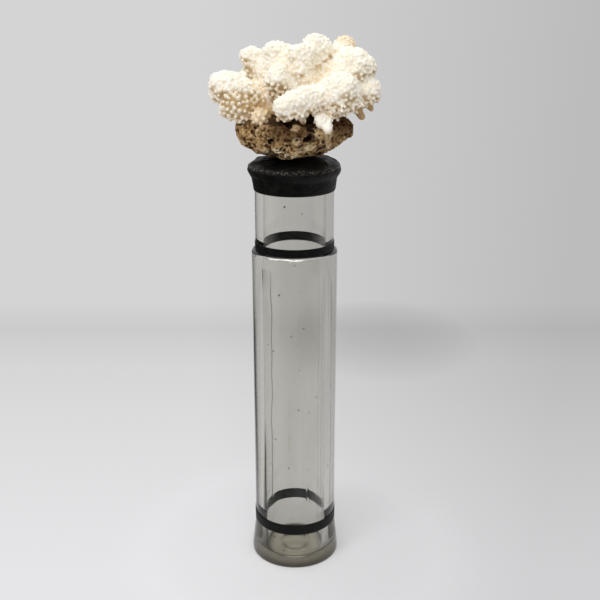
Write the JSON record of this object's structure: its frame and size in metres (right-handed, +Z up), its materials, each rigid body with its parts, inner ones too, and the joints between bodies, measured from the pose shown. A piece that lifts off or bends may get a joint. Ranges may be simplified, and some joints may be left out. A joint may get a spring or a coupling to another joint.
{
  "type": "stoppered glass cylinder jar with coral finial",
  "caption": "Tall smoky glass cylinder jar with black bands, closed by a lift-out black stopper that carries a white branching coral on its rock.",
  "frame": {"origin": "on the jar's axis, at the face that it stands on", "axes": "+Z up along the jar's axis, -Y towards the viewer of the picture, +X to that viewer's right"},
  "size_m": [0.1329, 0.1021, 0.4483],
  "materials": {
    "smoky_glass": "clear, grey tint, polished",
    "black_band": "satin black, wound",
    "washer_leather": "plain",
    "cork": "raw cork",
    "black_wax": "satin, hand formed, scuffed",
    "pin_steel": "bare",
    "coral_rock": "rough, pitted",
    "coral_white": "rough, knobbed, chalky"
  },
  "bodies": {
    "vessel": {"glass_vessel": "smoky_glass", "neck_band": "black_band", "foot_band": "black_band"},
    "seal": {"rim_washer": "washer_leather"},
    "stopper": {"stopper_cork": "cork", "stopper_cap": "black_wax", "wax_bed": "black_wax", "coral_pin": "pin_steel", "coral_rock": "coral_rock", "coral_colony": "coral_white"}
  },
  "joints": [
    {"name": "stopper_turn", "type": "hinge", "parent": "vessel", "child": "seal", "pos_m": [0, 0, 0.34], "axis": [0, 0, 1], "continuous": true},
    {"name": "stopper_lift", "type": "slide", "parent": "seal", "child": "stopper", "axis": [0, 0, 1], "range_m": [0, 0.08]}
  ]
}
